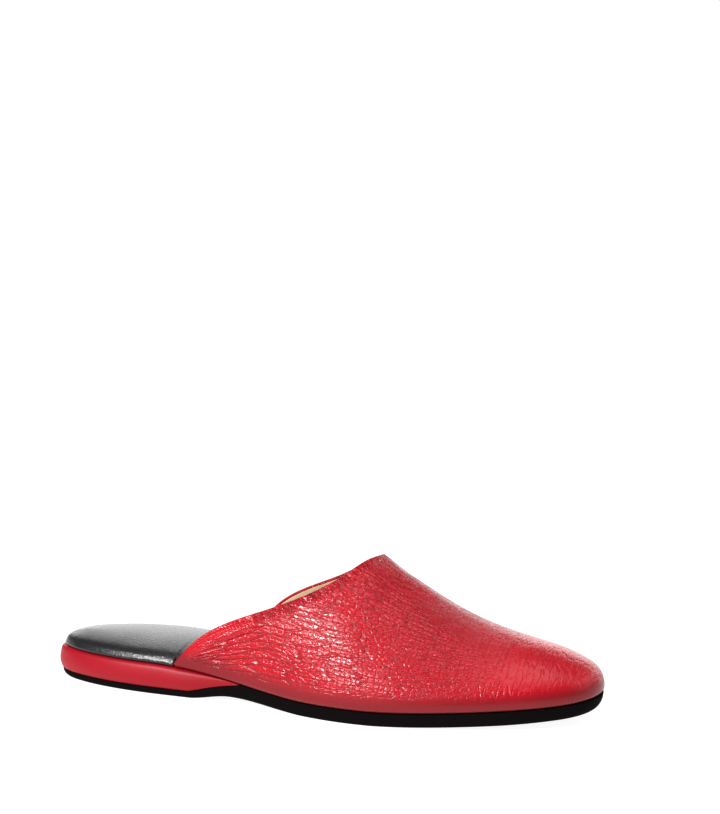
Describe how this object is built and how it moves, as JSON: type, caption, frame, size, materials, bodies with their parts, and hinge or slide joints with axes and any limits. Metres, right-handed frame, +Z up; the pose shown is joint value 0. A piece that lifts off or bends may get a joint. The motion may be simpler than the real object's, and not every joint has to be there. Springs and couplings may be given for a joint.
{
  "type": "slipper",
  "caption": "Backless leather house slipper for the right foot: grained calf vamp, padded black sock, covered low heel wedge and thin dark rubber sole.",
  "frame": {"origin": "middle of the slipper's base, on the floor it stands on", "axes": "+X from heel to toe, +Y towards the inner side of the right foot, +Z up"},
  "size_m": [0.2882, 0.0964, 0.0767],
  "materials": {
    "sole_rubber": "matte, fine nap",
    "smooth_calf": "satin",
    "sock_leather": "satin",
    "grained_calf": "glossy pebble grain"
  },
  "bodies": {
    "root": {"outsole": "sole_rubber", "heel_wedge": "smooth_calf", "insole": "sock_leather", "upper": "grained_calf"}
  },
  "joints": []
}
